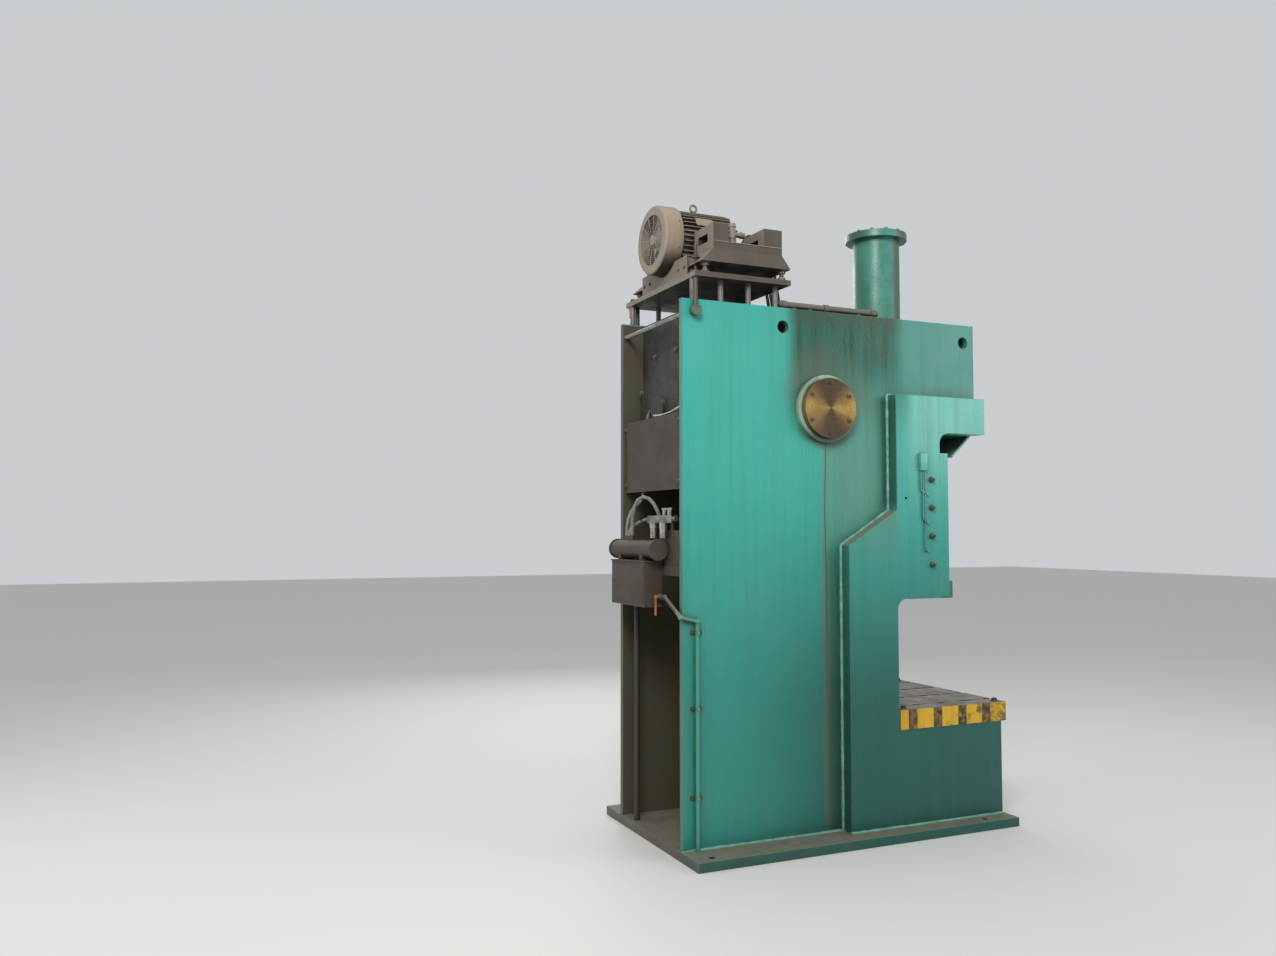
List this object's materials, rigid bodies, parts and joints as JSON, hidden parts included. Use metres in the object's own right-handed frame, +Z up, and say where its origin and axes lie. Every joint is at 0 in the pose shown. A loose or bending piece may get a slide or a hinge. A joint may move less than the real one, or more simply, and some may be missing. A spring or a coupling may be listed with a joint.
{
  "type": "mechanical stamping press",
  "caption": "Gap-frame mechanical stamping press with a front-to-back crankshaft, belt-driven flywheel, motor platform on top, air tank, guided slide and T-slotted bolster.",
  "frame": {"origin": "centre of the four anchor holes on the underside of the base plate", "axes": "+Z up, -Y towards the operator, +X towards the operator's right"},
  "size_m": [1.47, 2.686, 4.3749],
  "materials": {
    "teal_paint": "oil-stained teal machine enamel",
    "dull_paint": "dirty dark green enamel",
    "slide_paint": "teal enamel on cast iron, bare sliding faces",
    "pale_green_paint": "pale green enamel",
    "platform_paint": "dusty brown-grey paint",
    "motor_paint": "dusty beige-brown paint",
    "grey_paint": "dusty grey paint",
    "pipe_paint": "worn green paint on pipe",
    "bronze": "turned bronze",
    "dark_iron": "oily dark cast iron",
    "bare_steel": "machined steel",
    "hazard_paint": "yellow and black edge paint, bare top",
    "rubber": "matt belt rubber",
    "hose_rubber": "dusty grey hose",
    "orange_plastic": "orange sleeve",
    "lamp_plastic": "orange-red lens",
    "green_plastic": "green push button",
    "red_plastic": "red push button"
  },
  "bodies": {
    "frame": {"base_plate": "dull_paint", "left_side_plate": "teal_paint", "right_side_plate": "teal_paint", "left_front_slab": "teal_paint", "right_front_slab": "teal_paint", "crown_top_plate": "teal_paint", "crown_front_plate": "teal_paint", "crown_front_hood": "teal_paint", "main_bearing_plate": "dull_paint", "rear_bearing_plate": "dark_iron", "rear_cross_plate": "platform_paint", "throat_back_plate": "dull_paint", "bed_box": "dull_paint", "rear_tie_rod": "bare_steel", "bolster": "hazard_paint", "cushion_cylinder": "dark_iron", "bearing_saddle": "dark_iron", "bearing_bushes": "bronze", "trunnion_rings": "pale_green_paint", "trunnion_caps": "bronze", "cap_bolts": "dark_iron", "guide_ways": "bronze", "gib_plates": "teal_paint", "motor_base_plate": "platform_paint", "motor_supports": "dark_iron", "motor_tray": "platform_paint", "tray_brackets": "platform_paint", "motor_body": "motor_paint", "motor_end_shields": "motor_paint", "fan_cowl": "motor_paint", "terminal_box": "motor_paint", "v_belts": "rubber", "brake_cover": "dark_iron", "balancer_cylinders": "dull_paint", "air_tank": "teal_paint", "tank_cap": "teal_paint", "air_receiver": "grey_paint", "rear_valve_box": "platform_paint", "air_unit": "bare_steel", "rear_hoses": "hose_rubber", "ball_valve": "bare_steel", "air_pipes": "pipe_paint", "rear_lamp": "lamp_plastic", "control_box": "platform_paint"},
    "slide": {"slide": "slide_paint", "balancer_rods": "bare_steel"},
    "knockout": {"knockout_bar": "bare_steel"},
    "crank": {"crankshaft": "bare_steel", "clutch_and_brake": "dark_iron"},
    "rod": {"connecting_rod": "dark_iron", "rod_cap": "dark_iron"},
    "flywheel": {"flywheel": "dark_iron"},
    "motor": {"motor_rotor": "bare_steel", "motor_pulley": "dark_iron"},
    "cushion": {"cushion_pad": "bare_steel"},
    "valve_lever": {"valve_handle": "orange_plastic"},
    "upper_run": {"upper_run_button": "green_plastic"},
    "lower_run": {"lower_run_button": "green_plastic"},
    "stop": {"stop_button": "red_plastic"}
  },
  "joints": [
    {"name": "slide_stroke", "type": "slide", "parent": "frame", "child": "slide", "axis": [0, 0, 1], "range_m": [-0.2, 0]},
    {"name": "crank_turn", "type": "hinge", "parent": "frame", "child": "crank", "pos_m": [0, 0, 2.909], "axis": [0, 1, 0], "range_deg": [0, 180]},
    {"name": "rod_swing", "type": "hinge", "parent": "crank", "child": "rod", "pos_m": [0, -0.89, 3.009], "axis": [0, 1, 0], "range_deg": [-180, 0]},
    {"name": "knockout_travel", "type": "slide", "parent": "slide", "child": "knockout", "axis": [0, 0, 1], "range_m": [0, 0.055]},
    {"name": "flywheel_spin", "type": "hinge", "parent": "frame", "child": "flywheel", "pos_m": [0, 0.35, 2.909], "axis": [0, 1, 0], "continuous": true},
    {"name": "motor_spin", "type": "hinge", "parent": "frame", "child": "motor", "pos_m": [0, 0.35, 4.081], "axis": [0, 1, 0], "continuous": true},
    {"name": "cushion_travel", "type": "slide", "parent": "frame", "child": "cushion", "axis": [0, 0, 1], "range_m": [-0.05, 0]},
    {"name": "valve_turn", "type": "hinge", "parent": "frame", "child": "valve_lever", "pos_m": [-0.23, 1.26, 1.643], "axis": [0, 1, 0], "range_deg": [0, 90]},
    {"name": "upper_run_press", "type": "slide", "parent": "frame", "child": "upper_run", "axis": [0, 1, 0], "range_m": [0, 0.006], "stiffness_N_per_m": 800},
    {"name": "lower_run_press", "type": "slide", "parent": "frame", "child": "lower_run", "axis": [0, 1, 0], "range_m": [0, 0.006], "stiffness_N_per_m": 800},
    {"name": "stop_press", "type": "slide", "parent": "frame", "child": "stop", "axis": [0, 1, 0], "range_m": [0, 0.006], "stiffness_N_per_m": 1000}
  ],
  "couplings": [
    {"joint": "crank_turn", "follows": "slide_stroke", "rad_per_m": -15.7},
    {"joint": "rod_swing", "follows": "slide_stroke", "rad_per_m": 15.7},
    {"joint": "motor_spin", "follows": "flywheel_spin", "ratio": 3.7818}
  ]
}
